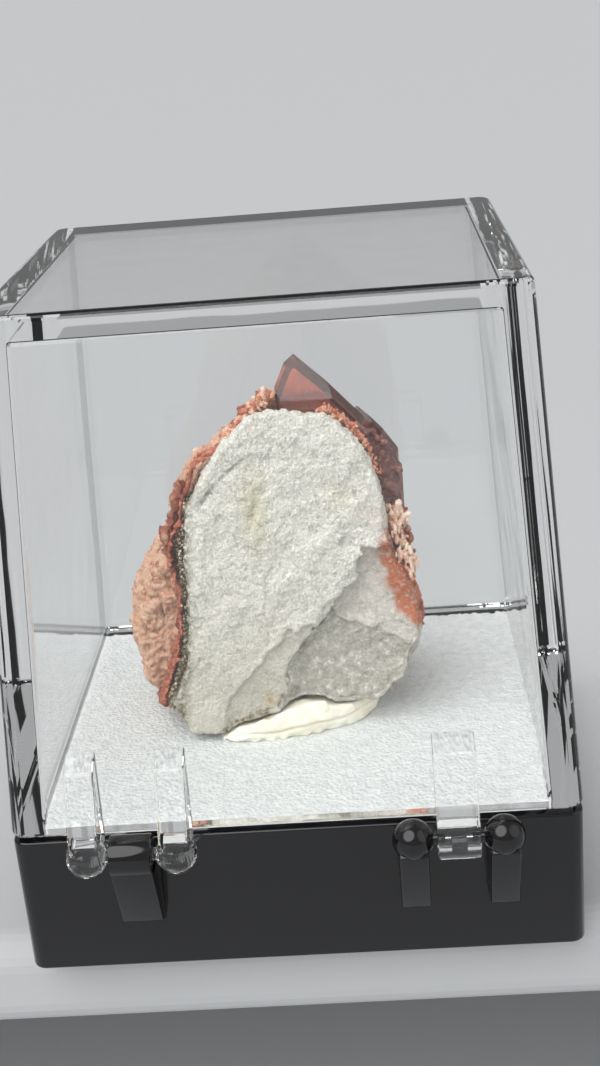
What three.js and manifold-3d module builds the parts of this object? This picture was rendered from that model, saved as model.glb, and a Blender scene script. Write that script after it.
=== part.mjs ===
// Hematoid quartz on its matrix, pressed into putty on the foam pad of a small hinged display box.
// Millimetres, +Z up. The origin is the centre of the box's underside. The hinge runs along X, on
// the -Y side, and the broken white face of the specimen looks towards -Y.
import * as THREE from 'three';
import { mergeVertices } from 'three/addons/utils/BufferGeometryUtils.js';
import { ConvexGeometry } from 'three/addons/geometries/ConvexGeometry.js';
import { ImprovedNoise } from 'three/addons/math/ImprovedNoise.js';
import Module from 'manifold-3d';

const wasm = await Module();
wasm.setup();

// Box
const BOX_WIDTH = 41.3;
const BOX_DEPTH = 37.8;
const BASE_HEIGHT = 11;
const BASE_WALL = 1.2;
const BASE_FLOOR = 1.6;
const CORNER_RADIUS = 1.1;
const LID_TOP = 49.1;
const LID_WALL = 2.1;
const LID_DRAFT = 0.06; // how far each side leans in per millimetre of height
const GAP = 0.3; // air between two pieces that touch
const BEDDING = GAP + 0.1; // room cut in a rough piece for the one that sits in it

// Hinge
const HINGE_REACH = 2.2; // from the front faces of base and lid to the hinge axis
const HINGE_SPACING = 23.1; // between the middles of the two hinges
const KNUCKLE_RADIUS = 1.475;
const BARREL_LENGTH = 3;
const BALL_OFFSET = 3.2; // from the middle of a hinge to the middle of each ball
const LEG_WIDTH = 2.1;
const LEG_LENGTH = 7;
const PIVOT_RADIUS = 0.45;
const PIVOT_LENGTH = 0.75;
const SOCKET_RADIUS = 0.75;
const SOCKET_DEPTH = 0.95;
const PIVOT_ROOT = 0.5; // length of a pivot inside its ball

// Foam and putty
const FOAM_TOP = 10.9;
const PUTTY_HEIGHT = 2.7;

// Specimen
const SPECIMEN_BOTTOM = FOAM_TOP + GAP;
const FACE_AT_FOOT = -4.9; // y of the broken face at the foam
const FACE_LEAN = 0.04; // how far the face leans back per millimetre of height
const LEDGE_DEPTH = 0.9;
const CRYSTAL_TIP = new THREE.Vector3(1.7, 1.3, 40.8);
const RHOMB_SLOPE = 1.27; // fall of a quartz point's faces per millimetre away from its axis
const CRYSTAL_FOOT = 16;

const black = { color: 0x0b0b0c, roughness: 0.12, metalness: 0 };
const clear = { color: 0xf4f6f6, roughness: 0.05, metalness: 0, transparent: true, opacity: 0.3 };
const foamWhite = { color: 0xe9eef0, roughness: 0.9, metalness: 0 };
const puttyCream = { color: 0xe6dfc4, roughness: 0.55, metalness: 0 };
const quartzWhite = { color: 0xc9c6bf, roughness: 0.5, metalness: 0 };
const rockPink = { color: 0xa46a58, roughness: 0.8, metalness: 0 };
const crystalRed = { color: 0x8a4a42, roughness: 0.1, metalness: 0 };

const noise = new ImprovedNoise();

// Turns a closed geometry into a solid that can be joined and cut.
function solid(geometry) {
  const bare = geometry.clone();
  bare.deleteAttribute('normal');
  bare.deleteAttribute('uv');
  const merged = mergeVertices(bare, 1e-4);
  return new wasm.Manifold(new wasm.Mesh({
    numProp: 3,
    vertProperties: new Float32Array(merged.attributes.position.array),
    triVerts: new Uint32Array(merged.index.array),
  }));
}

function piece(name, body, finish) {
  const { vertProperties, triVerts } = body.getMesh();
  const geometry = new THREE.BufferGeometry();
  geometry.setAttribute('position', new THREE.BufferAttribute(vertProperties, 3));
  geometry.setIndex(new THREE.BufferAttribute(triVerts, 1));
  geometry.computeVertexNormals();
  const mesh = new THREE.Mesh(geometry, new THREE.MeshStandardMaterial(finish));
  mesh.name = name;
  return mesh;
}

// Gives the same numbers between 0 and 1 on every run.
function dice(seed) {
  let state = seed;
  return () => {
    state = (state * 1664525 + 1013904223) % 4294967296;
    return state / 4294967296;
  };
}

// The largest of the bodies that a cut leaves, without its crumbs.
function largest(body) {
  return body.decompose().sort((one, other) => other.volume() - one.volume())[0];
}

function roundedRectangle(width, depth, radius) {
  const x = width / 2;
  const y = depth / 2;
  const shape = new THREE.Shape();
  shape.moveTo(-x + radius, -y);
  shape.lineTo(x - radius, -y);
  shape.absarc(x - radius, -y + radius, radius, -Math.PI / 2, 0);
  shape.lineTo(x, y - radius);
  shape.absarc(x - radius, y - radius, radius, 0, Math.PI / 2);
  shape.lineTo(-x + radius, y);
  shape.absarc(-x + radius, y - radius, radius, Math.PI / 2, Math.PI);
  shape.lineTo(-x, -y + radius);
  shape.absarc(-x + radius, -y + radius, radius, Math.PI, 1.5 * Math.PI);
  return shape;
}

// A block with rounded upright corners whose sides lean in by the draft.
function block(width, depth, radius, bottom, top, draft = 0) {
  const geometry = new THREE.ExtrudeGeometry(roundedRectangle(width, depth, radius), {
    depth: top - bottom,
    bevelEnabled: false,
    curveSegments: 4,
  });
  const position = geometry.attributes.position;
  for (let i = 0; i < position.count; i += 1) {
    const height = position.getZ(i);
    position.setX(i, position.getX(i) * (1 - (2 * draft * height) / width));
    position.setY(i, position.getY(i) * (1 - (2 * draft * height) / depth));
  }
  return solid(geometry.translate(0, 0, bottom));
}

// The hinge's parts, drawn about the hinge axis and then put in place at x.
const hingeAxis = new THREE.Vector3(0, -(BOX_DEPTH / 2 + HINGE_REACH), BASE_HEIGHT);

function rod(radius, length, x) {
  const geometry = new THREE.CylinderGeometry(radius, radius, length, 16);
  return solid(geometry.rotateZ(Math.PI / 2).translate(x, hingeAxis.y, hingeAxis.z));
}

function ball(x) {
  const geometry = new THREE.SphereGeometry(KNUCKLE_RADIUS, 14, 8);
  return solid(geometry.rotateZ(Math.PI / 2).translate(x, hingeAxis.y, hingeAxis.z));
}

// A wedge that runs from a ball or barrel to the wall behind it: up the lid or down the base.
function leg(width, x, upwards) {
  const rise = upwards ? 1 : -1;
  const lean = upwards ? LID_DRAFT * LEG_LENGTH : 0;
  const shape = new THREE.Shape([
    [-1.25, 0.75],
    [0.85, LEG_LENGTH - 0.8],
    [HINGE_REACH + lean, LEG_LENGTH],
    [HINGE_REACH + lean + 0.6, LEG_LENGTH],
    [HINGE_REACH + 0.6, 0.6],
    [0.6, -0.4],
  ].map(([y, z]) => new THREE.Vector2(y, rise * z)));
  const geometry = new THREE.ExtrudeGeometry(shape, { depth: width, bevelEnabled: false });
  const alongX = new THREE.Matrix4().makeBasis(
    new THREE.Vector3(0, 1, 0),
    new THREE.Vector3(0, 0, 1),
    new THREE.Vector3(1, 0, 0),
  );
  geometry.applyMatrix4(alongX).translate(x - width / 2, hingeAxis.y, hingeAxis.z);
  return solid(geometry);
}

// Two balls with pivots that point at each other, on legs.
function ballPair(middle, upwards) {
  let pair = null;
  for (const side of [-1, 1]) {
    const x = middle + side * BALL_OFFSET;
    const pivotMiddle = x - side * (KNUCKLE_RADIUS + (PIVOT_LENGTH - PIVOT_ROOT) / 2);
    const one = ball(x)
      .add(leg(LEG_WIDTH, x, upwards))
      .add(rod(PIVOT_RADIUS, PIVOT_LENGTH + PIVOT_ROOT, pivotMiddle));
    pair = pair ? pair.add(one) : one;
  }
  return pair;
}

// One barrel on a leg, with a socket in each end.
function barrel(middle, upwards) {
  let body = rod(KNUCKLE_RADIUS, BARREL_LENGTH, middle).add(leg(BARREL_LENGTH, middle, upwards));
  for (const side of [-1, 1]) {
    const end = middle + side * (BARREL_LENGTH / 2);
    body = body.subtract(rod(SOCKET_RADIUS, 2 * SOCKET_DEPTH, end));
  }
  return body;
}

function boxBase() {
  return block(BOX_WIDTH, BOX_DEPTH, CORNER_RADIUS, 0, BASE_HEIGHT)
    .subtract(block(
      BOX_WIDTH - 2 * BASE_WALL,
      BOX_DEPTH - 2 * BASE_WALL,
      0.5,
      BASE_FLOOR,
      BASE_HEIGHT + 1,
    ))
    .add(barrel(-HINGE_SPACING / 2, false))
    .add(ballPair(HINGE_SPACING / 2, false));
}

function boxLid() {
  const rim = BASE_HEIGHT + GAP;
  const outside = block(BOX_WIDTH, BOX_DEPTH, CORNER_RADIUS, rim, LID_TOP, LID_DRAFT);
  const inside = block(
    BOX_WIDTH - 2 * LID_WALL,
    BOX_DEPTH - 2 * LID_WALL,
    0.6,
    rim,
    LID_TOP - LID_WALL,
    LID_DRAFT,
  );
  // A cut a little below the rim as well leaves no skin across the lid's mouth.
  const mouth = block(BOX_WIDTH - 2 * LID_WALL, BOX_DEPTH - 2 * LID_WALL, 0.6, rim - 1, rim + 0.01);
  return outside.subtract(inside).subtract(mouth)
    .add(ballPair(-HINGE_SPACING / 2, true))
    .add(barrel(HINGE_SPACING / 2, true));
}

function foamPad() {
  const clearance = BASE_WALL + GAP;
  return block(
    BOX_WIDTH - 2 * clearance,
    BOX_DEPTH - 2 * clearance,
    0.4,
    BASE_FLOOR + GAP,
    FOAM_TOP,
  );
}

// Distance from the heart of an outline to its edge, in one direction.
function edgeDistance(outline, heart, angle) {
  const ray = [Math.cos(angle), Math.sin(angle)];
  let reach = 0;
  outline.forEach(([x, z], index) => {
    const [nextX, nextZ] = outline[(index + 1) % outline.length];
    const start = [x - heart[0], z - heart[1]];
    const edge = [nextX - x, nextZ - z];
    const turn = ray[0] * edge[1] - ray[1] * edge[0];
    const distance = (start[0] * edge[1] - start[1] * edge[0]) / turn;
    const share = (start[0] * ray[1] - start[1] * ray[0]) / turn;
    if (share >= -1e-6 && share <= 1 + 1e-6 && distance > reach) reach = distance;
  });
  return reach;
}

// A rough slab: an outline of [x, z] points seen from the front, between a face and a back that
// give y at each x and z. Its top tapers in towards the back. It is swollen by grow to make room
// for itself in a neighbour.
function slab(form, grow = 0) {
  const { outline, heart, steps, face, back, rounding, taper, roughness, grain } = form;
  const geometry = new THREE.BoxGeometry(2, 2, 2, ...steps);
  const position = geometry.attributes.position;
  const xs = outline.map(([x]) => x);
  const zs = outline.map(([, z]) => z);
  const width = Math.max(...xs) - Math.min(...xs);
  const height = Math.max(...zs) - Math.min(...zs);
  for (let i = 0; i < position.count; i += 1) {
    const [u, w, v] = [position.getX(i), position.getY(i), position.getZ(i)];
    const share = Math.max(Math.abs(u), Math.abs(v));
    const angle = Math.atan2(v * height, u * width);
    const slope = taper * Math.max(0, Math.sin(angle)) * ((w + 1) / 2);
    const reach = (edgeDistance(outline, heart, angle) - rounding * w ** 4 - slope) * share;
    const spread = reach + grow * share;
    const place = [heart[0] + reach * Math.cos(angle), heart[1] + reach * Math.sin(angle)];
    const y = THREE.MathUtils.lerp(face(...place), back(...place), (w + 1) / 2);
    const shake = [0, 10, 20].map((shift) => roughness * noise.noise(
      place[0] / grain + shift,
      y / grain + shift,
      place[1] / grain + shift,
    ));
    position.setXYZ(
      i,
      heart[0] + spread * Math.cos(angle) + shake[0],
      y + w * grow + shake[1],
      heart[1] + spread * Math.sin(angle) + shake[2],
    );
  }
  return solid(geometry);
}

// White vein quartz. Its broken face is flat, and steps back past a ledge at the lower right.
function ledgeDepth(x, z) {
  const right = 0.865 * (x + 1.4) - 0.501 * (z - 14);
  const below = 1 - THREE.MathUtils.smoothstep(z, 25.5, 28);
  return LEDGE_DEPTH * THREE.MathUtils.smoothstep(right, -0.2, 0.9) * below;
}

const faceOfQuartz = (x, z) => FACE_AT_FOOT + FACE_LEAN * (z - FOAM_TOP) + ledgeDepth(x, z);

const quartzForm = {
  outline: [
    [-6.6, 11.5], [-8.6, 11.6], [-9.5, 13.1], [-10.0, 14.6], [-9.1, 15.7], [-8.3, 17.0],
    [-7.9, 19.7], [-7.7, 22.3], [-7.5, 27.0], [-7.1, 30.5], [-6.6, 31.8], [-5.3, 34.2],
    [-4.4, 35.2], [-3.3, 36.4], [-2.0, 37.5], [-0.9, 37.9], [0.6, 38.0], [1.8, 37.4],
    [2.8, 37.6], [4.0, 37.5], [4.9, 36.9], [6.0, 35.5], [6.8, 34.1], [7.5, 32.4],
    [8.0, 30.6], [7.9, 29.2], [8.3, 27.2], [8.4, 25.5], [8.9, 24.3], [9.7, 22.8],
    [10.2, 21.3], [10.4, 19.8], [10.2, 18.6], [9.6, 17.0], [8.8, 15.3], [7.2, 13.2],
    [5.0, 13.3], [3.0, 13.3], [1.1, 13.8], [-1.4, 13.3], [-2.6, 12.8], [-3.9, 12.5],
    [-5.3, 11.9],
  ],
  heart: [-0.5, 24],
  steps: [14, 3, 17],
  face: faceOfQuartz,
  back: (x, z) => 1.8 - 0.129 * (z - FOAM_TOP),
  rounding: 0.35,
  taper: 0.9,
  roughness: 0.35,
  grain: 2.1,
};

// Hematoid quartz crystal: a six-sided prism, wide towards the face, under a point with three
// large faces and three small ones between them.
const degrees = Math.PI / 180;
const prismFaces = [
  { azimuth: -94, x: 3.4, y: -1.2 },
  { azimuth: -34, x: 6.3, y: -1.2 },
  { azimuth: 26, x: 9.35, y: 4.1 },
  { azimuth: 86, x: 5, y: 6.4 },
  { azimuth: 146, x: 0.1, y: -0.3 },
  { azimuth: 206, x: 0.6, y: -1.2 },
];
const pointFaces = [
  { azimuth: -94, lift: 0 },
  { azimuth: 26, lift: 0 },
  { azimuth: 146, lift: 0 },
  { azimuth: -34, lift: 1.9 },
  { azimuth: 86, lift: 2.3 },
  { azimuth: 206, lift: 1.2 },
];

function crystalPlanes(foot) {
  const planes = prismFaces.map(({ azimuth, x, y }) => {
    const normal = new THREE.Vector3(Math.cos(azimuth * degrees), Math.sin(azimuth * degrees), 0);
    return new THREE.Plane(normal, -(normal.x * x + normal.y * y));
  });
  for (const { azimuth, lift } of pointFaces) {
    const normal = new THREE.Vector3(
      RHOMB_SLOPE * Math.cos(azimuth * degrees),
      RHOMB_SLOPE * Math.sin(azimuth * degrees),
      1,
    ).normalize();
    const onFace = CRYSTAL_TIP.clone().setZ(CRYSTAL_TIP.z + lift);
    planes.push(new THREE.Plane().setFromNormalAndCoplanarPoint(normal, onFace));
  }
  planes.push(new THREE.Plane(new THREE.Vector3(0, 0, -1), foot));
  return planes;
}

// The convex body inside a set of planes, each moved out by grow.
function insidePlanes(planes, grow = 0) {
  const moved = planes.map((plane) => new THREE.Plane(plane.normal, plane.constant - grow));
  const corners = [];
  for (let i = 0; i < moved.length; i += 1) {
    for (let j = i + 1; j < moved.length; j += 1) {
      for (let k = j + 1; k < moved.length; k += 1) {
        const [a, b, c] = [moved[i], moved[j], moved[k]];
        const bc = b.normal.clone().cross(c.normal);
        const volume = a.normal.dot(bc);
        if (Math.abs(volume) < 1e-6) continue;
        const corner = bc.multiplyScalar(-a.constant)
          .addScaledVector(c.normal.clone().cross(a.normal), -b.constant)
          .addScaledVector(a.normal.clone().cross(b.normal), -c.constant)
          .divideScalar(volume);
        const inside = moved.every((plane) => plane.distanceToPoint(corner) < 1e-5);
        const known = corners.some((other) => other.distanceTo(corner) < 1e-3);
        if (inside && !known) corners.push(corner);
      }
    }
  }
  return new ConvexGeometry(corners);
}

// Smaller crystals of the same build, each with its own tip, on the large one's right front.
const sideCrystals = [
  { tip: [6.3, 0.8, 36.5], scale: 0.38, length: 6.6 },
  { tip: [6.2, -1.6, 36.1], scale: 0.2, length: 3.4 },
  { tip: [7.0, -1.5, 35.2], scale: 0.18, length: 3 },
  { tip: [7.5, -1.2, 34.4], scale: 0.2, length: 3 },
  { tip: [7.4, -1.1, 33.2], scale: 0.19, length: 2.8 },
  { tip: [7.9, -0.8, 32.3], scale: 0.2, length: 2.8 },
];

function hematoidCrystal(grow = 0) {
  let body = solid(insidePlanes(crystalPlanes(CRYSTAL_FOOT), grow));
  for (const { tip, scale, length } of sideCrystals) {
    const foot = CRYSTAL_TIP.z - length / scale;
    const small = insidePlanes(crystalPlanes(foot), grow / scale);
    small.translate(...CRYSTAL_TIP.clone().negate()).scale(scale, scale, scale);
    body = body.add(solid(small.translate(...tip)));
  }
  return body;
}

// Host rock: pink and granular, behind and to the left of the white quartz.
const hostForm = {
  outline: [
    [-9.4, 11.4], [-11.2, 11.7], [-11.7, 13.0], [-12.3, 14.6], [-13.0, 17.0], [-13.3, 19.2],
    [-12.8, 21.5], [-11.9, 23.7], [-10.5, 25.8], [-9.4, 27.4], [-8.7, 28.9], [-8.3, 30.2],
    [-7.8, 31.7], [-7.0, 33.0], [-5.8, 33.9], [-4.5, 34.3], [-3.2, 35.6], [-2.3, 36.8],
    [-1.4, 37.7], [-0.4, 38.4], [0.6, 37.6], [0.9, 34.0], [2.2, 29.0], [5.2, 26.3],
    [7.9, 28.2], [9.0, 28.6], [9.3, 27.0], [9.4, 25.0], [9.6, 22.5], [9.8, 19.0],
    [9.0, 16.2], [7.2, 13.6], [4.5, 13.3], [0.5, 12.6], [-3.0, 11.6], [-6.0, 11.4],
  ],
  heart: [-3, 21],
  steps: [12, 5, 14],
  face: (x) => -1.5 - 0.05 * (x + 8),
  back: (x, z) => 9.2 - 0.0105 * (z - FOAM_TOP) ** 2 - 0.012 * (x + 1) ** 2,
  rounding: 1.1,
  taper: 0,
  roughness: 0.9,
  grain: 1.5,
};

// A small six-sided quartz point, standing on its foot at a place and leaning along a direction.
function druseCrystal(place, direction, radius, length) {
  const profile = [[0, -0.6], [radius, -0.6], [radius * 0.95, length * 0.45], [0, length]]
    .map(([x, y]) => new THREE.Vector2(x, y));
  const geometry = new THREE.LatheGeometry(profile, 6);
  const lean = new THREE.Quaternion()
    .setFromUnitVectors(new THREE.Vector3(0, 1, 0), direction.clone().normalize());
  return solid(geometry.applyQuaternion(lean).translate(...place));
}

// A row of druse crystals along a path, each pushed a little off it.
function druseAlong(path, count, outward, sizes, seed) {
  const random = dice(seed);
  const curve = new THREE.CatmullRomCurve3(path.map((point) => new THREE.Vector3(...point)));
  const crystals = [];
  for (let i = 0; i < count; i += 1) {
    const place = curve.getPoint(i / (count - 1));
    const scatter = new THREE.Vector3(random() - 0.5, random() - 0.5, random() - 0.5);
    const direction = new THREE.Vector3(...outward).addScaledVector(scatter, 1.1);
    place.addScaledVector(scatter, 0.7);
    const size = THREE.MathUtils.lerp(sizes[0], sizes[1], random());
    crystals.push(druseCrystal(place, direction, size * 0.5, size));
  }
  return crystals;
}

// Brick red crust that stands up as a broken rim along the left edge of the white quartz.
const crustPath = [
  [-4.8, -1.9, 34.8], [-6.3, -2.0, 34.3], [-7.2, -2.0, 33.0], [-7.9, -2.1, 31.2],
  [-8.5, -2.2, 29.4], [-9.1, -2.2, 27.6], [-8.9, -2.3, 25.8], [-8.5, -2.4, 24.2],
  [-8.4, -2.4, 22.3], [-8.8, -2.4, 20.2], [-9.3, -2.3, 18.3], [-9.9, -2.2, 16.6],
  [-10.6, -2.0, 14.8], [-10.9, -1.8, 13.5],
];
const CRUST_LUMPS = 34;

function crustLumps() {
  const random = dice(11);
  const curve = new THREE.CatmullRomCurve3(crustPath.map((point) => new THREE.Vector3(...point)));
  const lumps = [];
  for (let i = 0; i < CRUST_LUMPS; i += 1) {
    const place = curve.getPointAt((i + 0.8 * random()) / CRUST_LUMPS);
    const lump = new THREE.IcosahedronGeometry(0.3 + 0.3 * random() ** 2, 0);
    lump.rotateX(6 * random()).rotateZ(6 * random()).scale(0.85, 2.6, 1.5);
    lumps.push(solid(lump.translate(place.x, place.y + 0.5 * random(), place.z)));
  }
  return lumps;
}

// Druse on the natural outer side of the host rock, out of sight behind the crystal.
function backDruse() {
  const random = dice(5);
  const crystals = [];
  for (let row = 0; row < 4; row += 1) {
    for (let column = 0; column < 5; column += 1) {
      const x = -9.5 + 4.2 * column + 2 * random();
      const z = 14 + 4.4 * row + 2 * random();
      if (x > 0.5 && z > 25) continue;
      const y = hostForm.back(x, z) - 0.9;
      const direction = new THREE.Vector3(0.12 * x, 1, 0.06 * (z - 20) + 0.4 * random());
      crystals.push(druseCrystal([x, y, z], direction, 0.7 + 0.4 * random(), 1.5 + random()));
    }
  }
  return crystals;
}

const topDrusePath = [
  [-3.7, -0.7, 34.4], [-2.8, -0.7, 35.4], [-1.8, -0.7, 36.8], [-0.4, -0.6, 38.3],
];
const rightDrusePath = [
  [8.9, -0.9, 28.4], [9.0, -1.2, 27.2], [9.0, -1.3, 26.0], [9.1, -1.2, 24.8], [9.4, -0.9, 23.6],
];

function hostRock() {
  let body = slab(hostForm);
  const growths = [
    ...crustLumps(),
    ...druseAlong(topDrusePath, 11, [-0.5, -0.5, 0.8], [0.7, 1.1], 3),
    ...druseAlong(rightDrusePath, 10, [0.8, -0.8, 0.1], [0.6, 1.0], 7),
    ...backDruse(),
    druseCrystal([8.8, -0.8, 28.3], new THREE.Vector3(0.4, -0.4, 1), 0.3, 1.3),
    druseCrystal([8.9, -0.8, 27.9], new THREE.Vector3(0.8, -0.4, 0.7), 0.3, 1.2),
  ];
  for (const growth of growths) body = body.add(growth);
  return largest(body.subtract(slab(quartzForm, BEDDING)).subtract(hematoidCrystal(GAP)));
}

// Putty: a squeezed roll, laid flat, that the right half of the specimen is pressed into.
const puttyForm = {
  outline: [
    [-6.4, -4.2], [-5.8, -5.3], [-3.2, -5.6], [-0.4, -5.2], [1.6, -4.9], [3.2, -4.2],
    [4.9, -3.2], [6.1, -1.8], [6.6, -0.4], [5.6, 1.2], [3, 1.8], [-1, 2],
    [-4.5, -0.5], [-6.8, -2.6],
  ],
  heart: [0.5, -2],
  steps: [12, 2, 6],
  face: (x) => -(SPECIMEN_BOTTOM + PUTTY_HEIGHT - 0.03 * (x - 3) ** 2),
  back: () => -SPECIMEN_BOTTOM,
  rounding: 0.35,
  taper: 0,
  roughness: 0.2,
  grain: 1.6,
};

function mineralTack() {
  const laid = slab(puttyForm).rotate([-90, 0, 0]);
  return largest(laid.subtract(slab(quartzForm, BEDDING)).subtract(slab(hostForm, BEDDING)));
}

function whiteQuartz() {
  return slab(quartzForm).subtract(hematoidCrystal(GAP));
}

const specimenBox = new THREE.Group();
specimenBox.add(
  piece('box_base', boxBase(), black),
  piece('foam_pad', foamPad(), foamWhite),
  piece('mineral_tack', mineralTack(), puttyCream),
  piece('host_rock', hostRock(), rockPink),
  piece('white_quartz', whiteQuartz(), quartzWhite),
  piece('hematoid_crystal', hematoidCrystal(), crystalRed),
  piece('box_lid', boxLid(), clear),
);

export default specimenBox;
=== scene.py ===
# Hematoid quartz on matrix, held by putty on the foam pad of a small hinged display box.
import math
import random

import bmesh
import bpy
from mathutils import Euler, Matrix, Vector, noise


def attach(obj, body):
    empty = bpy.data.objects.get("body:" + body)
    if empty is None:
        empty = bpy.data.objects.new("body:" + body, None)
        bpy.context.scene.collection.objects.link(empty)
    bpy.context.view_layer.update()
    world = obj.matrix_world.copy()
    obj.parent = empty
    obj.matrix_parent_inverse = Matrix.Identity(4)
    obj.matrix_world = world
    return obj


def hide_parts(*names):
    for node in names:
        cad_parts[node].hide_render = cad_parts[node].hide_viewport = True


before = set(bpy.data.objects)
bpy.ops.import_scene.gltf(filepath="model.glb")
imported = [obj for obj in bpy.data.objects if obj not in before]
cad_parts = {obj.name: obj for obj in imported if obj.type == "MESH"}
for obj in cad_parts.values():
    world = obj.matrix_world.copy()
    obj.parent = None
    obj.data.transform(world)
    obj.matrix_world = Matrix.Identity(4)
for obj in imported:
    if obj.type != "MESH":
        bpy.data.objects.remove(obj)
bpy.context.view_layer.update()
scene = bpy.context.scene
MM = 0.001

# Camera: a little above the box and in front of its hinge, held slightly askew by hand.
CAMERA_PLACE = (7.4, -112.5, 70.0)
CAMERA_TURN = (68.76, 4.55, 1.44)
FRAME_HEIGHT = 36.0
FOCAL_LENGTH = 51.28

lens = bpy.data.cameras.new("camera")
lens.sensor_fit = "VERTICAL"
lens.sensor_height = FRAME_HEIGHT
lens.lens = FOCAL_LENGTH
lens.clip_start = 0.005
camera = bpy.data.objects.new("camera", lens)
camera.location = Vector(CAMERA_PLACE) * MM
camera.rotation_euler = Euler([math.radians(turn) for turn in CAMERA_TURN])
scene.collection.objects.link(camera)
scene.camera = camera

# Light: a broad soft key from the upper left, a weak fill from the right, and a pale room.
SOFTNESS = 60
ROOM_COLOUR = (0.9, 0.91, 0.92)
ROOM_STRENGTH = 0.4

scene.view_settings.view_transform = "Standard"


def soft_sun(name, towards, power):
    """Even light over the whole floor that comes from one side."""
    light = bpy.data.lights.new(name, "SUN")
    light.energy = power
    light.angle = math.radians(SOFTNESS)
    lamp = bpy.data.objects.new(name, light)
    lamp.rotation_euler = Vector(towards).to_track_quat("-Z", "Y").to_euler()
    scene.collection.objects.link(lamp)


soft_sun("key light", (0.45, 0.6, -0.9), 2.05)
soft_sun("fill light", (-0.8, 0.3, -0.5), 0.45)

world = bpy.data.worlds.new("pale room")
world.use_nodes = True
room_light = world.node_tree.nodes["Background"]
room_light.inputs["Color"].default_value = (*ROOM_COLOUR, 1)
room_light.inputs["Strength"].default_value = ROOM_STRENGTH
scene.world = world

# Table: a pale slab whose edge lies just behind the hinge, so that the open lid can hang over it,
# and a pale floor below.
TABLE_EDGE = -16.0
TABLE_SIZE = 3000.0
TABLE_THICKNESS = 8.0
TABLE_ROUNDING = 2.5
FLOOR_DROP = 75.0


def material_of(name, colour, roughness, values=None):
    """A Principled material and the tools to add nodes to it."""
    material = bpy.data.materials.new(name)
    material.use_nodes = True
    tree = material.node_tree
    shader = tree.nodes["Principled BSDF"]
    shader.inputs["Base Color"].default_value = (*colour, 1)
    shader.inputs["Roughness"].default_value = roughness
    for socket, value in (values or {}).items():
        shader.inputs[socket].default_value = value
    return material, tree, shader


def soften(shape, edges, radius, segments=3):
    """Rounds the given edges."""
    bmesh.ops.bevel(
        shape,
        geom=edges,
        offset=radius,
        segments=segments,
        profile=0.5,
        affect="EDGES",
        material=-1,
    )


def in_metres(shape):
    """Brings a bmesh that was built in millimetres to the scene's metres."""
    bmesh.ops.scale(shape, vec=(MM, MM, MM), verts=shape.verts)
    return shape


table_shape = bmesh.new()
bmesh.ops.create_cube(table_shape, size=1)
bmesh.ops.scale(
    table_shape, vec=(2 * TABLE_SIZE, TABLE_SIZE, TABLE_THICKNESS), verts=table_shape.verts
)
bmesh.ops.translate(
    table_shape,
    vec=(0, TABLE_EDGE + TABLE_SIZE / 2, -TABLE_THICKNESS / 2),
    verts=table_shape.verts,
)
soften(table_shape, table_shape.edges[:], TABLE_ROUNDING, 6)
floor_shape = bmesh.new()
bmesh.ops.create_grid(floor_shape, x_segments=1, y_segments=1, size=3 * TABLE_SIZE)
bmesh.ops.translate(floor_shape, vec=(0, 0, -FLOOR_DROP), verts=floor_shape.verts)

pale = material_of("pale table", (0.62, 0.63, 0.64), 0.7)[0]
for stage_name, stage_shape in (("table", table_shape), ("floor", floor_shape)):
    stage_mesh = bpy.data.meshes.new(stage_name)
    in_metres(stage_shape).to_mesh(stage_mesh)
    stage_shape.free()
    stage_mesh.materials.append(pale)
    stage_object = bpy.data.objects.new(stage_name, stage_mesh)
    scene.collection.objects.link(stage_object)

# Box base: a glossy black moulded tray. Its left hinge has one barrel and its right one two balls,
# each on a wedge-shaped leg down the front wall.
BOX_WIDTH = 41.3
BOX_DEPTH = 37.8
BASE_HEIGHT = 11.0
BASE_WALL = 1.2
BASE_FLOOR = 1.6
CORNER_RADIUS = 1.1
INNER_CORNER = 0.5
CUT_PAST = 2
EDGE_RADIUS = 0.2
FLAT_AREA = 6.0
FLAT_ANGLE = 40
HINGE_REACH = 2.2
HINGE_SPACING = 23.1
KNUCKLE_RADIUS = 1.475
BARREL_LENGTH = 3.0
BALL_OFFSET = 3.2
BARREL_RIM = 0.18
LEG_WIDTH = 2.1
LEG_LENGTH = 7.0
LEG_THICKNESS = 0.6
LEG_ROUNDING = 0.16
PIVOT_RADIUS = 0.45
PIVOT_LENGTH = 0.75
SOCKET_RADIUS = 0.75
SOCKET_DEPTH = 0.95
LID_DRAFT = 0.06
HINGE_AXIS = Vector((0, -(BOX_DEPTH / 2 + HINGE_REACH), BASE_HEIGHT))


def upright_block(width, depth, bottom, top, corner, draft=0.0):
    """A block with rounded upright edges, whose sides lean in by the draft."""
    shape = bmesh.new()
    bmesh.ops.create_cube(shape, size=1)
    bmesh.ops.scale(shape, vec=(width, depth, top - bottom), verts=shape.verts)
    bmesh.ops.translate(shape, vec=(0, 0, (top + bottom) / 2), verts=shape.verts)
    upright = [edge for edge in shape.edges if edge.verts[0].co.z != edge.verts[1].co.z]
    soften(shape, upright, corner, 6)
    for vert in shape.verts:
        rise = vert.co.z - bottom
        vert.co.x -= math.copysign(draft * rise, vert.co.x)
        vert.co.y -= math.copysign(draft * rise, vert.co.y)
    return shape


def sharp_edges(shape, angle=50):
    limit = math.radians(angle)
    return [edge for edge in shape.edges if edge.is_manifold and edge.calc_face_angle() > limit]


def of_kind(made, kind):
    """The vertices or the edges alone of what an operator made."""
    return [element for element in made if isinstance(element, kind)]


def join_into(shape, other):
    """Adds one bmesh to another."""
    mesh = bpy.data.meshes.new("joined")
    other.to_mesh(mesh)
    other.free()
    shape.from_mesh(mesh)
    bpy.data.meshes.remove(mesh)


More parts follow.
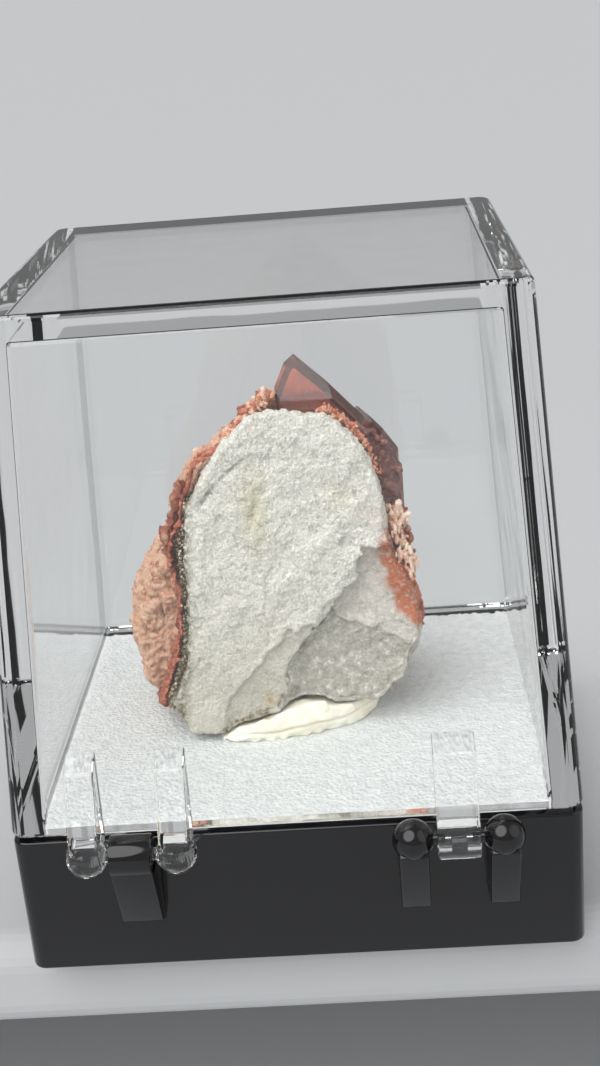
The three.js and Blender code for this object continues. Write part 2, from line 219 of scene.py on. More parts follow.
def hinge_ball(x):
    ball = bmesh.new()
    bmesh.ops.create_uvsphere(
        ball,
        u_segments=40,
        v_segments=20,
        radius=KNUCKLE_RADIUS,
        matrix=Matrix.Translation(HINGE_AXIS + Vector((x, 0, 0))),
    )
    return ball


def turned_on_axis(x, profile):
    """Spins (along, radius) points about the hinge axis."""
    shape = bmesh.new()
    start = HINGE_AXIS + Vector((x, 0, 0))
    points = [shape.verts.new(start + Vector((along, 0, radius))) for along, radius in profile]
    edges = [shape.edges.new(pair) for pair in zip(points, points[1:])]
    bmesh.ops.spin(
        shape,
        geom=points + edges,
        cent=HINGE_AXIS,
        axis=(1, 0, 0),
        angle=2 * math.pi,
        steps=48,
        use_merge=True,
    )
    bmesh.ops.remove_doubles(shape, verts=shape.verts, dist=0.001)
    bmesh.ops.recalc_face_normals(shape, faces=shape.faces)
    return shape


def hinge_barrel(x):
    """A barrel with rounded rims and a socket in each end."""
    half = BARREL_LENGTH / 2
    right = (
        (half - SOCKET_DEPTH, 0),
        (half - SOCKET_DEPTH, SOCKET_RADIUS),
        (half, SOCKET_RADIUS),
        (half, KNUCKLE_RADIUS - BARREL_RIM),
        (half - 0.05, KNUCKLE_RADIUS - 0.05),
        (half - BARREL_RIM, KNUCKLE_RADIUS),
    )
    left = [(-along, radius) for along, radius in reversed(right)]
    return turned_on_axis(x, (*right, *left))


def hinge_leg(x, width, upwards):
    """A wedge from a ball or barrel along the wall behind it: up the lid or down the base."""
    rise = 1 if upwards else -1
    lean = LID_DRAFT * LEG_LENGTH if upwards else 0
    outline = (
        (-1.25, 0.75),
        (0.85, LEG_LENGTH - 0.8),
        (HINGE_REACH + lean, LEG_LENGTH),
        (HINGE_REACH + lean + LEG_THICKNESS, LEG_LENGTH),
        (HINGE_REACH + LEG_THICKNESS, LEG_THICKNESS),
        (LEG_THICKNESS, -0.4),
    )
    leg = bmesh.new()
    corners = [
        leg.verts.new(HINGE_AXIS + Vector((x - width / 2, y, rise * z))) for y, z in outline
    ]
    side = leg.faces.new(corners)
    far = bmesh.ops.extrude_face_region(leg, geom=[side])["geom"]
    bmesh.ops.translate(leg, vec=(width, 0, 0), verts=of_kind(far, bmesh.types.BMVert))
    bmesh.ops.recalc_face_normals(leg, faces=leg.faces)
    soften(leg, sharp_edges(leg, 30), LEG_ROUNDING)
    return leg


def ball_hinge(middle, upwards):
    """Two balls with a pivot each, on their legs."""
    parts = []
    for side in (-1, 1):
        x = middle + side * BALL_OFFSET
        pivot_end = side * -(KNUCKLE_RADIUS + PIVOT_LENGTH)
        pivot = (
            (0, 0),
            (0, PIVOT_RADIUS),
            (0.97 * pivot_end, PIVOT_RADIUS),
            (pivot_end, 0.8 * PIVOT_RADIUS),
            (pivot_end, 0),
        )
        parts += [hinge_ball(x), hinge_leg(x, LEG_WIDTH, upwards), turned_on_axis(x, pivot)]
    return parts


def barrel_hinge(middle, upwards):
    return [hinge_barrel(middle), hinge_leg(middle, BARREL_LENGTH, upwards)]


def solid_object(shape, name):
    """A bmesh as a scratch object, for booleans."""
    mesh = bpy.data.meshes.new(name)
    shape.to_mesh(mesh)
    shape.free()
    tool = bpy.data.objects.new(name, mesh)
    scene.collection.objects.link(tool)
    return tool


def combined(first, others, operation):
    """The boolean of one object with others, as a mesh. The objects are used up."""
    for other in others:
        boolean = first.modifiers.new("boolean", "BOOLEAN")
        boolean.operation = operation
        boolean.solver = "EXACT"
        boolean.object = other
    graph = bpy.context.evaluated_depsgraph_get()
    mesh = bpy.data.meshes.new_from_object(first.evaluated_get(graph))
    for used in (first, *others):
        bpy.data.objects.remove(used)
    return mesh


def smooth_curves(mesh):
    """Smooth shading on the small faces of rounded parts, flat on large ones."""
    for face in mesh.polygons:
        face.use_smooth = face.area < FLAT_AREA * MM**2
    mesh.set_sharp_from_angle(angle=math.radians(FLAT_ANGLE))


outside = upright_block(BOX_WIDTH, BOX_DEPTH, 0, BASE_HEIGHT, CORNER_RADIUS)
soften(outside, sharp_edges(outside), EDGE_RADIUS)
inside = upright_block(
    BOX_WIDTH - 2 * BASE_WALL,
    BOX_DEPTH - 2 * BASE_WALL,
    BASE_FLOOR,
    BASE_HEIGHT + CUT_PAST,
    INNER_CORNER,
)
tray = combined(
    solid_object(outside, "tray outside"), [solid_object(inside, "tray inside")], "DIFFERENCE"
)
base_shape = bmesh.new()
base_shape.from_mesh(tray)
bpy.data.meshes.remove(tray)
for part in barrel_hinge(-HINGE_SPACING / 2, False) + ball_hinge(HINGE_SPACING / 2, False):
    join_into(base_shape, part)


def add_node(tree, kind, sockets=None, **settings):
    """A node with its settings, whose sockets take values or the outputs of other nodes."""
    node = tree.nodes.new(kind)
    for setting, value in settings.items():
        setattr(node, setting, value)
    for socket, value in (sockets or {}).items():
        if isinstance(value, bpy.types.NodeSocket):
            tree.links.new(value, node.inputs[socket])
        else:
            node.inputs[socket].default_value = value
    return node


def grain(tree, size, detail=4, roughness=0.6):
    """Noise whose lumps are about size millimetres across."""
    place = add_node(tree, "ShaderNodeTexCoord").outputs["Object"]
    sockets = {"Vector": place, "Scale": 1 / (size * MM), "Detail": detail, "Roughness": roughness}
    return add_node(tree, "ShaderNodeTexNoise", sockets).outputs["Fac"]


def spread(tree, value, low, high, to_low=0.0, to_high=1.0):
    """Maps a value from one range to another, clamped."""
    sockets = {
        "Value": value,
        "From Min": low,
        "From Max": high,
        "To Min": to_low,
        "To Max": to_high,
    }
    return add_node(tree, "ShaderNodeMapRange", sockets).outputs["Result"]


def bump(tree, shader, *layers):
    """Stacks bumps of (height, distance in millimetres) on a shader's normal."""
    normal = None
    for height, distance in layers:
        sockets = {"Height": height, "Distance": distance * MM, "Strength": 1.0}
        if normal:
            sockets["Normal"] = normal
        normal = add_node(tree, "ShaderNodeBump", sockets).outputs["Normal"]
    tree.links.new(normal, shader.inputs["Normal"])


def finished(shape, name, material, body, smooth=True):
    """Turns a bmesh into a piece that rides on a body."""
    mesh = bpy.data.meshes.new(name)
    shape.to_mesh(mesh)
    shape.free()
    return placed(mesh, name, material, body, smooth)


def placed(mesh, name, material, body, smooth=True):
    """Turns a mesh into a piece that rides on a body."""
    mesh.materials.clear()
    mesh.materials.append(material)
    mesh.polygons.foreach_set("use_smooth", [smooth] * len(mesh.polygons))
    piece = bpy.data.objects.new(name, mesh)
    scene.collection.objects.link(piece)
    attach(piece, body)
    return piece


black, black_tree, black_shader = material_of(
    "black styrene", (0.004, 0.004, 0.005), 0.1, {"IOR": 1.55}
)
smears = spread(black_tree, grain(black_tree, 3.0, 5), 0.35, 0.75, 0.06, 0.2)
black_tree.links.new(smears, black_shader.inputs["Roughness"])
bump(black_tree, black_shader, (grain(black_tree, 9.0, 2), 0.03))

base = finished(in_metres(base_shape), "base_tray", black, "base", smooth=False)
smooth_curves(base.data)
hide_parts("box_base")

# Foam pad: white closed-cell foam, cut a little small with a knife, so that its top edge is ragged.
FOAM_BOTTOM = 1.9
FOAM_TOP = 10.9
FOAM_GAP = 0.3
FOAM_CROWN = 0.25
FOAM_STEP = 0.24
RAGGED_EDGE = 0.7

foam_half = Vector((BOX_WIDTH / 2 - BASE_WALL - FOAM_GAP, BOX_DEPTH / 2 - BASE_WALL - FOAM_GAP))
foam_shape = bmesh.new()
bmesh.ops.create_grid(
    foam_shape,
    x_segments=round(2 * foam_half.x / FOAM_STEP),
    y_segments=round(2 * foam_half.y / FOAM_STEP),
    size=1,
)
for vert in foam_shape.verts:
    u, v = vert.co.x, vert.co.y
    x, y = u * foam_half.x, v * foam_half.y
    edge_distance = min(foam_half.x - abs(x), foam_half.y - abs(y))
    ragged = noise.fractal(Vector((x, y, 3)) * 1.3, 0.8, 2.1, 4)
    chips = max(0.0, noise.noise(Vector((x * 0.45, y * 0.45, 8))) - 0.1)
    near_edge = max(0.0, 1 - edge_distance / RAGGED_EDGE)
    pull = max(0.0, near_edge * (0.12 + 0.22 * ragged + 0.55 * chips))
    lumps = 0.035 * noise.noise(Vector((x, y, 0)) * 1.7) + 0.03 * noise.noise(Vector((x, y, 5)) * 3.6)
    crown = FOAM_CROWN * (1 - u**4) * (1 - v**4)
    vert.co = (
        x - math.copysign(pull if abs(u) >= abs(v) else 0, x),
        y - math.copysign(pull if abs(v) >= abs(u) else 0, y),
        FOAM_TOP + crown + lumps - 0.45 * near_edge * abs(ragged),
    )
rim = [edge for edge in foam_shape.edges if edge.is_boundary]
skirt = bmesh.ops.extrude_edge_only(foam_shape, edges=rim)["geom"]
for vert in of_kind(skirt, bmesh.types.BMVert):
    vert.co.z = FOAM_BOTTOM
bmesh.ops.contextual_create(foam_shape, geom=of_kind(skirt, bmesh.types.BMEdge))
bmesh.ops.recalc_face_normals(foam_shape, faces=foam_shape.faces)


def cells(tree, size, output="Distance"):
    """Voronoi cells about size millimetres across."""
    place = add_node(tree, "ShaderNodeTexCoord").outputs["Object"]
    sockets = {"Vector": place, "Scale": 1 / (size * MM)}
    return add_node(tree, "ShaderNodeTexVoronoi", sockets).outputs[output]


def ramp(tree, factor, *stops):
    """A colour ramp with (position, colour) stops."""
    node = add_node(tree, "ShaderNodeValToRGB", {"Fac": factor})
    elements = node.color_ramp.elements
    while len(elements) < len(stops):
        elements.new(0.5)
    for element, (position, colour) in zip(elements, stops):
        element.position = position
        element.color = (*colour, 1)
    return node.outputs["Color"]


foam, foam_tree, foam_shader = material_of(
    "white foam", (0.8, 0.84, 0.86), 0.85, {"Specular IOR Level": 0.35}
)
foam_colour = ramp(
    foam_tree,
    grain(foam_tree, 0.8, 6, 0.7),
    (0.3, (0.6, 0.63, 0.625)),
    (0.6, (0.75, 0.77, 0.76)),
)
foam_tree.links.new(foam_colour, foam_shader.inputs["Base Color"])
bump(
    foam_tree,
    foam_shader,
    (cells(foam_tree, 0.32), 0.11),
    (grain(foam_tree, 0.22, 5, 0.7), 0.07),
)
foam_pad = finished(in_metres(foam_shape), "foam_block", foam, "base")
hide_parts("foam_pad")

# Putty: a cream roll squeezed along the specimen's foot, with a crease and pinched lower edge.
PUTTY_VOXEL = 0.12
PUTTY_FOLD = 12.0
PUTTY_FOOT = 11.1


def remeshed(mesh, voxel):
    """Even, fine faces over the outside of a mesh, which is used up."""
    form = bpy.data.objects.new("form", mesh)
    scene.collection.objects.link(form)
    remesh = form.modifiers.new("remesh", "REMESH")
    remesh.mode = "VOXEL"
    remesh.voxel_size = voxel * MM
    graph = bpy.context.evaluated_depsgraph_get()
    fine = bpy.data.meshes.new_from_object(form.evaluated_get(graph))
    bpy.data.objects.remove(form)
    bpy.data.meshes.remove(mesh)
    return fine


def fine_mesh(node, voxel):
    """The form of one of the part's solids in finer faces. Its corners are merged first."""
    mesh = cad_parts[node].data.copy()
    shape = bmesh.new()
    shape.from_mesh(mesh)
    bmesh.ops.remove_doubles(shape, verts=shape.verts, dist=0.001 * MM)
    shape.to_mesh(mesh)
    shape.free()
    return remeshed(mesh, voxel)


def push_out(mesh, distance):
    """Moves each point of a mesh along its normal. All lengths are in millimetres."""
    moved = []
    for vert in mesh.vertices:
        moved.extend(vert.co + vert.normal * distance(vert.co / MM, vert.normal) * MM)
    mesh.vertices.foreach_set("co", moved)
    mesh.update()


def putty_relief(place, normal):
    """Finger dents, the fold along the roll, and scallops at its foot."""
    dents = 0.1 * noise.noise(place * 0.9) + 0.06 * noise.noise(place * 2.7)
    wave = 0.06 * place.x + 0.12 * math.sin(1.3 * place.x) + 0.1 * noise.noise(place * 0.8)
    fold = PUTTY_FOLD + wave
    groove = math.exp(-(((place.z - fold) / 0.1) ** 2))
    facing = max(0.0, -normal.y)
    foot = max(0.0, 1 - (place.z - PUTTY_FOOT) / 0.5)
    scallops = 0.22 * math.sin(5 * place.x + 2 * noise.noise(place * 0.7))
    return 0.07 + dents - 0.28 * groove * facing + foot * facing * scallops


putty_mesh = fine_mesh("mineral_tack", PUTTY_VOXEL)
push_out(putty_mesh, putty_relief)
putty, putty_tree, putty_shader = material_of(
    "cream putty",
    (0.84, 0.79, 0.65),
    0.5,
    {"Subsurface Weight": 0.2, "Subsurface Scale": 0.8 * MM, "Specular IOR Level": 0.4},
)
putty_colour = ramp(
    putty_tree,
    grain(putty_tree, 2.2, 5, 0.6),
    (0.3, (0.9, 0.84, 0.64)),
    (0.65, (0.98, 0.95, 0.84)),
)
putty_tree.links.new(putty_colour, putty_shader.inputs["Base Color"])
bump(putty_tree, putty_shader, (grain(putty_tree, 0.35, 4), 0.05), (cells(putty_tree, 0.9), 0.03))
tack = placed(putty_mesh, "pressed_putty", putty, "base")
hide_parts("mineral_tack")

# White quartz: massive vein quartz, broken across. It is sugary and sparkles, with a ledge down to
# glassy grey facets at the lower right.
QUARTZ_IOR = 1.544
QUARTZ_VOXEL = 0.125
NOISE_SEED = 4
LEDGE_DEPTH = 1.15
LOWER_DEPTH = 0.35
SCOOP_DEPTH = 0.3
LEFT_EDGE = (
    (11.5, -8.4), (13.1, -9.5), (14.6, -10.0), (15.7, -9.1), (17.0, -8.3), (19.7, -7.9),
    (22.3, -7.7), (27.0, -7.5), (30.5, -7.1), (31.8, -6.6), (34.2, -5.3), (36.4, -3.3),
)
LEDGE = (
    (14.7, -1.3), (16.0, -0.8), (17.7, 0.1), (19.3, 1.2), (20.9, 2.5), (22.6, 3.4), (24.3, 5.1),
    (26.3, 5.8),
)
SCOOP = ((-6.0, 12.5), (-5.2, 15.1), (-3.3, 16.8), (-0.2, 20.3), (1.0, 20.6))
BOTTOM_EDGE = ((-6.4, 11.75), (-4.7, 12.6), (-2.2, 13.4))
LOWER_LEDGE = ((3.2, 22.0), (3.7, 20.9), (5.4, 20.2), (7.3, 19.2), (9.1, 18.2))
STAIN_EDGE = ((19.0, 9.9), (21.0, 8.5), (23.5, 7.4), (26.5, 7.1), (29.0, 8.1))
HEALED_CRACK = ((30.6, -6.4), (31.5, -5.6), (32.4, -4.9), (33.6, -3.5), (34.6, -2.1), (35.4, -0.9))
LONG_SPOT = Vector((-2.0, 30.3))
ROUND_SPOT = Vector((4.6, 30.8))
OCHRE_SPOT = Vector((-2.0, 14.5))


def along(points, position):
    """Reads a list of (position, value) points, with straight lines between them."""
    for (low, first), (high, second) in zip(points, points[1:]):
        if position <= high:
            share = max(0.0, (position - low) / (high - low))
            return first + share * (second - first)
    return points[-1][1]


def step(value, low, high):
    """Rises smoothly from 0 to 1 between low and high."""
    share = min(1.0, max(0.0, (value - low) / (high - low)))
    return share * share * (3 - 2 * share)


def broken_facets(place):
    """How far a place lies in the facets right of the ledge, and in the lowest of them."""
    wander = 0.5 * noise.noise(place * 0.8) + 0.25 * noise.noise(place * 2.2)
    right = step(0.8 * (place.x - along(LEDGE, place.z)) + wander, 0.0, 0.2)
    right *= 1 - step(place.z + wander, 26.3, 27.1)
    low = step(along(LOWER_LEDGE, place.x) - place.z + wander, 0.0, 0.3)
    return right, right * low


def scoop_share(place, right):
    """How far a place lies in the shallow scoop left of the ledge's foot."""
    wander = 0.4 * noise.noise(place * 0.9) + 0.2 * noise.noise(place * 2.4)
    scoop = step(along(SCOOP, place.x) - place.z + wander, 0.0, 0.25)
    return scoop * step(place.x, -6.2, -5.2) * (1 - right)


def soft_ledge(place):
    """Depth of the solid's soft ledge, which the crisp one takes the place of."""
    beyond = 0.865 * (place.x + 1.4) - 0.501 * (place.z - 14)
    return 0.9 * step(beyond, -0.2, 0.9) * (1 - step(place.z, 25.5, 28))


def quartz_relief(place, normal):
    facing = max(0.0, -normal.y)
    right, low = broken_facets(place)
    left = max(0.0, -normal.x) * step(place.z, 15.5, 17) * (1 - step(place.z, 30, 32))
    sugar = 0.045 * noise.noise(place * 3.4) + 0.045 * noise.noise(place * 7.5)
    waves = 0.1 * noise.noise(place * 0.55)
    chips = noise.cell(place * 1.6 + 0.8 * noise.noise_vector(place * 1.1))
    rim = (1 - facing) * (0.13 * noise.noise(place * 1.9) + 0.09 * noise.noise(place * 4.2))
    broken = 0.06 * chips + facing * (soft_ledge(place) - LEDGE_DEPTH * right - LOWER_DEPTH * low)
    broken -= SCOOP_DEPTH * facing * scoop_share(place, right)
    return 0.08 + waves + sugar * (1 - 0.5 * low) + rim + broken + 0.3 * left


noise.seed_set(NOISE_SEED)
quartz_mesh = fine_mesh("white_quartz", QUARTZ_VOXEL)
push_out(quartz_mesh, quartz_relief)


def quartz_zones(place):
    """How far a place on the white quartz lies in each zone of colour or of painted shade, from 0 to 1.
    """
    right, low = broken_facets(place)
    inward = place.x - along(LEFT_EDGE, place.z)
    corner = (1 - step(place.x, -9.2, -8.0)) * (1 - step(place.z, 16, 18.5))
    bottom = 1 - step(place.z - along(BOTTOM_EDGE, place.x), 0.15, 0.6)
    bottom *= step(place.x, -6.6, -6.0) * (1 - step(place.x, -2.4, -1.8))
    long_spot, round_spot = place.xz - LONG_SPOT, place.xz - ROUND_SPOT
    long_spot.y *= 0.3
    crack = 1 - step(abs(place.x - along(HEALED_CRACK, place.z)), 0.08, 0.32)
    uneven = 0.9 * noise.noise(place * 0.8) + 0.5 * noise.noise(place * 2.3)
    right_side, rise = place.x + uneven, place.z + uneven
    stain_share = step(place.x + 0.5 * uneven - along(STAIN_EDGE, place.z), -0.2, 0.5)
    return {
        "facets": right,
        "glassy": low,
        # Painted shade: darker and warmer towards the bottom, where less light falls on the quartz.
        "lower": 0.7 * (1 - step(place.z, 12, 27)),
        # Painted shade: a darker grey in the hollow of the shallow scoop.
        "scooped": 0.5 * scoop_share(place, right),
        "rim": 4 * right * (1 - right),
        "speckled": max(1 - step(inward, -0.1, 0.5), corner, bottom) * (1 - step(place.z, 31, 33)),
        "stained": stain_share * step(place.z, 18.8, 19.6) * (1 - step(rise, 27, 29)),
        "blushed": step(right_side, 4.5, 8.0) * step(rise, 19, 24) * (1 - step(rise, 29, 32)),
        "yellow": max(0.75 - 0.5 * long_spot.length, 0.45 - 0.35 * round_spot.length, 0.0),
        "ochre": max(0.0, 1 - 1.1 * (place.xz - OCHRE_SPOT).length),
        "crack": 0.8 * crack * step(place.z, 30.6, 31.2) * (1 - step(place.z, 34.2, 35.2)),
    }


def paint(mesh, zones):
    """Stores on each point what the zones function gives for its place, by name."""
    values = [zones(vert.co / MM) for vert in mesh.vertices]
    for name in values[0]:
        layer = mesh.attributes.new(name, "FLOAT", "POINT")
        layer.data.foreach_set("value", [value[name] for value in values])


paint(quartz_mesh, quartz_zones)
quartz, quartz_tree, quartz_shader = material_of(
    "white vein quartz", (0.6, 0.59, 0.56), 0.42, {"IOR": QUARTZ_IOR, "Specular IOR Level": 0.6}
)


def attribute(tree, name):
    return add_node(tree, "ShaderNodeAttribute", attribute_name=name).outputs["Fac"]


def mix(tree, factor, first, second):
    """Mixes two colours, which go into a Mix node's sockets 6 and 7."""
    node = add_node(tree, "ShaderNodeMix", {"Factor": factor}, data_type="RGBA")
    for socket, value in zip((node.inputs[6], node.inputs[7]), (first, second)):
        if isinstance(value, bpy.types.NodeSocket):
            tree.links.new(value, socket)
        else:
            socket.default_value = (*value, 1)
    return node.outputs[2]


def drawn_grain(tree, size, stretch, detail, roughness):
    """Noise about size millimetres across, drawn out upwards."""
    place = add_node(tree, "ShaderNodeTexCoord").outputs["Object"]
    squeezed = add_node(
        tree, "ShaderNodeMapping", {"Vector": place, "Scale": (1, 1, 1 / stretch)}
    ).outputs["Vector"]
    sockets = {"Vector": squeezed, "Scale": 1 / (size * MM), "Detail": detail, "Roughness": roughness}
    return add_node(tree, "ShaderNodeTexNoise", sockets).outputs["Fac"]


def patchy(tree, zone, pattern, low, high, most=1.0):
    """How much of a painted zone's colour shows, broken up by a pattern."""
    share = spread(tree, pattern, low, high, 0, most)
    sockets = {0: attribute(tree, zone), 1: share}
    return add_node(tree, "ShaderNodeMath", sockets, operation="MULTIPLY").outputs[0]


cloud = ramp(
    quartz_tree,
    drawn_grain(quartz_tree, 0.6, 1.8, 8, 0.8),
    (0.34, (0.5, 0.475, 0.4)),
    (0.46, (0.77, 0.74, 0.645)),
    (0.62, (0.9, 0.88, 0.78)),
)
flecks = spread(quartz_tree, drawn_grain(quartz_tree, 0.17, 2.2, 3, 0.75), 0.53, 0.57)
sugar_white = mix(quartz_tree, flecks, cloud, (1.0, 0.985, 0.93))
upper_facet = ramp(
    quartz_tree,
    grain(quartz_tree, 0.6, 6, 0.7),
    (0.35, (0.54, 0.5, 0.43)),
    (0.65, (0.86, 0.82, 0.74)),
)
lower_facet = ramp(
    quartz_tree,
    grain(quartz_tree, 0.5, 6, 0.7),
    (0.35, (0.38, 0.36, 0.3)),
    (0.56, (0.58, 0.555, 0.48)),
    (0.68, (0.92, 0.9, 0.83)),
)
edge_grains = ramp(
    quartz_tree,
    grain(quartz_tree, 0.3, 4, 0.7),
    (0.35, (0.07, 0.06, 0.035)),
    (0.5, (0.27, 0.23, 0.13)),
    (0.65, (0.55, 0.53, 0.47)),
)
flakes = grain(quartz_tree, 0.5, 5, 0.7)
stain = grain(quartz_tree, 0.6, 6, 0.75)
quartz_colour = sugar_white
for share, colour in (
    # Painted shade towards the bottom of the quartz.
    (attribute(quartz_tree, "lower"), (0.56, 0.53, 0.43)),
    # Painted shade in the scoop's hollow.
    (attribute(quartz_tree, "scooped"), (0.5, 0.475, 0.39)),
    (attribute(quartz_tree, "facets"), upper_facet),
    (attribute(quartz_tree, "glassy"), lower_facet),
    (patchy(quartz_tree, "rim", flakes, 0.45, 0.55), (1.0, 0.99, 0.96)),
    (attribute(quartz_tree, "yellow"), (0.66, 0.62, 0.38)),
    (patchy(quartz_tree, "ochre", flakes, 0.4, 0.55), (0.45, 0.29, 0.09)),
    (patchy(quartz_tree, "blushed", grain(quartz_tree, 1.6), 0.4, 0.7, 0.5), (0.62, 0.43, 0.36)),
    (patchy(quartz_tree, "stained", stain, 0.37, 0.47), (0.56, 0.16, 0.06)),
    (patchy(quartz_tree, "crack", grain(quartz_tree, 0.5), 0.3, 0.5), (0.33, 0.31, 0.27)),
    (patchy(quartz_tree, "speckled", grain(quartz_tree, 0.4, 5, 0.7), 0.4, 0.52), edge_grains),
):
    quartz_colour = mix(quartz_tree, share, quartz_colour, colour)
quartz_tree.links.new(quartz_colour, quartz_shader.inputs["Base Color"])
sparkle = spread(quartz_tree, cells(quartz_tree, 0.22, output="Color"), 0.1, 0.9, 0.16, 0.6)
quartz_tree.links.new(sparkle, quartz_shader.inputs["Roughness"])
bump(
    quartz_tree,
    quartz_shader,
    (drawn_grain(quartz_tree, 0.26, 1.8, 6, 0.8), 0.15),
    (cells(quartz_tree, 0.2), 0.06),
)
vein = placed(quartz_mesh, "vein_quartz", quartz, "base")
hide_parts("white_quartz")

# Host rock: pink and granular, with pits and cracks, behind the quartz and to its left. Its edges
# turn rusty where the crust and the druse grow.
HOST_VOXEL = 0.15
CRUST_PATH = (
    (-4.4, -2.2, 34.7), (-5.9, -2.3, 34.2), (-6.9, -2.4, 33.0), (-7.4, -2.4, 31.4), (-7.6, -2.5, 30.4),
    (-8.0, -2.5, 29.4), (-8.7, -2.5, 28.0), (-9.0, -2.6, 26.6), (-8.8, -2.7, 25.2), (-8.5, -2.7, 24.2),
    (-8.4, -2.8, 23.0), (-8.6, -2.8, 21.0), (-9.0, -2.8, 19.3), (-9.5, -2.7, 17.6), (-10.1, -2.6, 16.1),
    (-10.6, -2.4, 14.8), (-10.9, -2.1, 13.7),
)
TOP_PATH = ((-3.9, -1.4, 34.6), (-2.9, -1.3, 35.6), (-1.8, -1.1, 37.1), (-0.4, -0.9, 38.4))
RIGHT_PATH = (
    (8.8, -1.4, 28.8), (8.9, -1.8, 27.4), (9.0, -2.0, 26.0), (9.2, -2.1, 24.8), (9.5, -2.1, 23.4),
)


def path_distance(place, path):
    """How far a place is from a chain of points."""
    points = [Vector(point) for point in path]
    nearest = math.inf
    for start, end in zip(points, points[1:]):
        away, run = place - start, end - start
        share = min(1.0, max(0.0, away.dot(run) / run.length_squared))
        nearest = min(nearest, (away - share * run).length)
    return nearest


def host_relief(place, normal):
    """Lumps and grit, less the cracks and the pits."""
    lumps = 0.2 * noise.noise(place * 0.9) + 0.24 * abs(noise.noise(place * 1.7))
    grit = 0.2 * noise.noise(place * 3.6) + 0.1 * noise.noise(place * 7.0)
    seam_place = Vector((place.x * 0.42, place.y * 0.42, place.z * 0.3)) + Vector((4, 1, 7))
    crack = abs(noise.noise(seam_place + 0.2 * noise.noise_vector(place * 0.8)))
    pits = max(0.0, noise.noise(place * 1.1 + Vector((9, 2, 4))) - 0.3)
    return 0.04 + lumps + grit - 0.55 * (1 - step(crack, 0.0, 0.08)) - 0.9 * pits


host_mesh = fine_mesh("host_rock", HOST_VOXEL)


def host_zones(place):
    """Rust near the crust and the druse. The middle and the back are too far off to be measured."""
    if place.y > 1 or -6 < place.x < 6 and place.z < 32:
        return {"rusty": 0}
    reach = min(path_distance(place, path) for path in (CRUST_PATH, TOP_PATH, RIGHT_PATH))
    return {"rusty": 1 - step(reach + 0.3 * noise.noise(place * 2), 0.7, 1.3)}


paint(host_mesh, host_zones)
push_out(host_mesh, host_relief)
host, host_tree, host_shader = material_of("pink host rock", (0.5, 0.28, 0.2), 0.85)
rock_colour = ramp(
    host_tree,
    grain(host_tree, 0.8, 8, 0.75),
    (0.34, (0.26, 0.08, 0.04)),
    (0.43, (0.82, 0.44, 0.28)),
    (0.56, (0.97, 0.63, 0.44)),
    (0.75, (1.0, 0.8, 0.62)),
)
rust_colour = ramp(
    host_tree,
    grain(host_tree, 0.6, 6, 0.7),
    (0.35, (0.2, 0.045, 0.025)),
    (0.6, (0.62, 0.22, 0.12)),
)
rock_colour = mix(host_tree, attribute(host_tree, "rusty"), rock_colour, rust_colour)
host_tree.links.new(rock_colour, host_shader.inputs["Base Color"])
bump(host_tree, host_shader, (grain(host_tree, 0.4, 6, 0.8), 0.3), (cells(host_tree, 0.28), 0.1))
host_stone = placed(host_mesh, "host_stone", host, "base")
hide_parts("host_rock")

# Crust: a thin brick red plate of hematite that stands up along the left edge of the white quartz.
CRUST_CRUMBS = 2000
CRUST_FRONT = -0.95
CRUST_BACK = 1.1
CRUST_VOXEL = 0.08
RIGHT_CRUMBS = 150
RIGHT_LINE = ((9.8, -2.2, 22.9), (10.2, -2.2, 21.5), (10.42, -2.1, 20.3), (10.38, -2.0, 19.0))
BATCH = 60

chance = random.Random(4)


def on_path(points, share):
    """A place along a chain of points, from 0 at its start to 1 at its end."""
    position = share * (len(points) - 1)
    index = min(int(position), len(points) - 2)
    return Vector(points[index]).lerp(Vector(points[index + 1]), position - index)


def add_grain(shape, place, size, stretch=(1, 1, 1), turn=None, subdivisions=1):
    """One grain, turned at random unless its turn is given."""
    turn = turn or Euler([chance.uniform(0, 2 * math.pi) for _ in range(3)])
    matrix = Matrix.Translation(place) @ turn.to_matrix().to_4x4() @ Matrix.Diagonal((*stretch, 1))
    made = bmesh.ops.create_icosphere(
        shape, subdivisions=subdivisions, radius=size, matrix=matrix
    )["verts"]
    tint(shape, made)


def tint(shape, verts, palest=1.0):
    """Gives the points of one small form their share of the colour range."""
    layer = shape.verts.layers.float["tint"]
    value = palest * chance.random()
    for vert in verts:
        vert[layer] = value


def tinted_shape():
    """A bmesh whose points can carry a share of the colour range."""
    shape = bmesh.new()
    shape.verts.layers.float.new("tint")
    return shape


def scattered(*kinds):
    """Many small forms, from (count, function that adds one), built in batches for speed."""
    whole = tinted_shape()
    for count, add_one in kinds:
        for start in range(0, count, BATCH):
            batch = tinted_shape()
            for _ in range(min(BATCH, count - start)):
                add_one(batch)
            join_into(whole, batch)
    return in_metres(whole)


def add_crumb(shape):
    """One crumb of the plate, whose front edge wavers."""
    place = on_path(CRUST_PATH, chance.random())
    shift = 0.08 + 0.3 * noise.noise(place * 1.1) + chance.gauss(0, 0.06)
    front = CRUST_FRONT + 0.5 * noise.noise(place * 1.7)
    place += Vector((shift, chance.uniform(front, CRUST_BACK), chance.gauss(0, 0.05)))
    add_grain(shape, place, chance.uniform(0.08, 0.19), (1, 0.9, 0.7))


def add_right_crumb(shape):
    """One crumb of the thin red line on the quartz's right edge."""
    place = on_path(RIGHT_LINE, chance.random()) + Vector((0, chance.uniform(-0.2, 0.8), 0))
    add_grain(shape, place, chance.uniform(0.09, 0.16))


def fused(shape, voxel):
    """Melts overlapping forms into one skin."""
    mesh = bpy.data.meshes.new("loose")
    shape.to_mesh(mesh)
    shape.free()
    return remeshed(mesh, voxel)


def crust_relief(place, normal):
    return 0.12 * noise.noise(place * 3.1) + 0.07 * noise.noise(place * 8)


